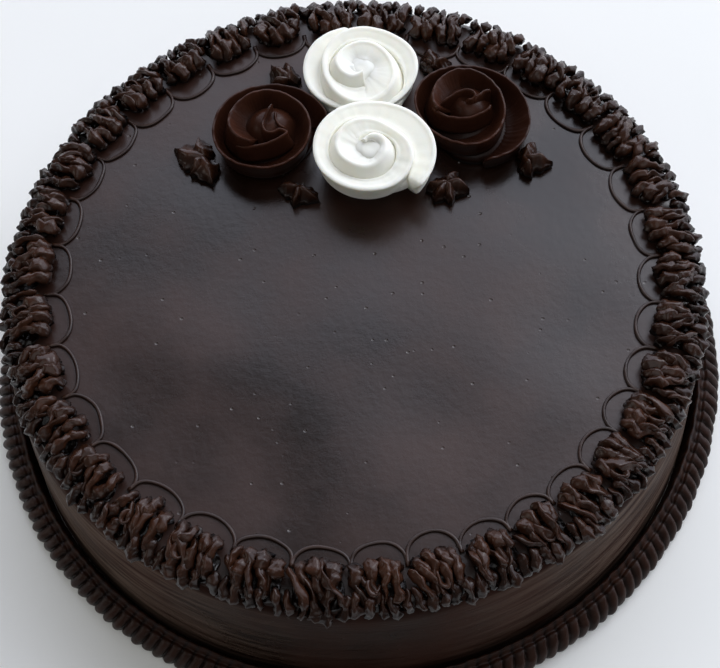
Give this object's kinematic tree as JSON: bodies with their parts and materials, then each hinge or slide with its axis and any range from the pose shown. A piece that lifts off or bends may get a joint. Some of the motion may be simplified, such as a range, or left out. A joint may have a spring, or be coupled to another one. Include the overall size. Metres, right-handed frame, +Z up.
{
  "type": "sachertorte cake",
  "caption": "Round chocolate-glazed cake with piped ruffles and fine scallops round its top, a ribbed border round its foot, and piped dark and white roses with leaves.",
  "frame": {"origin": "centre of the flat underside, at the foot of the cake", "axes": "+Z up through the cake's centre, +Y towards the roses, +X to the right seen with the roses at the back"},
  "size_m": [0.274, 0.274, 0.0832],
  "materials": {
    "glaze": "smooth dark chocolate glaze with a soft sheen",
    "dark_piping": "piped dark chocolate paste, satin",
    "dark_petal": "piped dark chocolate petals, satin with light thin rims",
    "white_petal": "piped white icing petals, matte"
  },
  "bodies": {
    "root": {"cake_body": "glaze", "foot_border": "dark_piping", "ruffle_01": "dark_piping", "ruffle_02": "dark_piping", "ruffle_03": "dark_piping", "ruffle_04": "dark_piping", "ruffle_05": "dark_piping", "ruffle_06": "dark_piping", "ruffle_07": "dark_piping", "ruffle_08": "dark_piping", "ruffle_09": "dark_piping", "ruffle_10": "dark_piping", "ruffle_11": "dark_piping", "ruffle_12": "dark_piping", "ruffle_13": "dark_piping", "ruffle_14": "dark_piping", "ruffle_15": "dark_piping", "ruffle_16": "dark_piping", "ruffle_17": "dark_piping", "ruffle_18": "dark_piping", "ruffle_19": "dark_piping", "ruffle_20": "dark_piping", "ruffle_21": "dark_piping", "ruffle_22": "dark_piping", "ruffle_23": "dark_piping", "ruffle_24": "dark_piping", "ruffle_25": "dark_piping", "ruffle_26": "dark_piping", "ruffle_27": "dark_piping", "ruffle_28": "dark_piping", "ruffle_29": "dark_piping", "ruffle_30": "dark_piping", "ruffle_31": "dark_piping", "ruffle_32": "dark_piping", "ruffle_33": "dark_piping", "ruffle_34": "dark_piping", "ruffle_35": "dark_piping", "leaves_left": "dark_piping", "leaves_back_left": "dark_piping", "leaves_front_left": "dark_piping", "leaves_front_right": "dark_piping", "leaves_right": "dark_piping", "leaves_back_right": "dark_piping", "rose_white_front": "white_petal", "rose_white_back": "white_petal", "rose_dark_left": "dark_petal", "rose_dark_right": "dark_petal"}
  },
  "joints": []
}
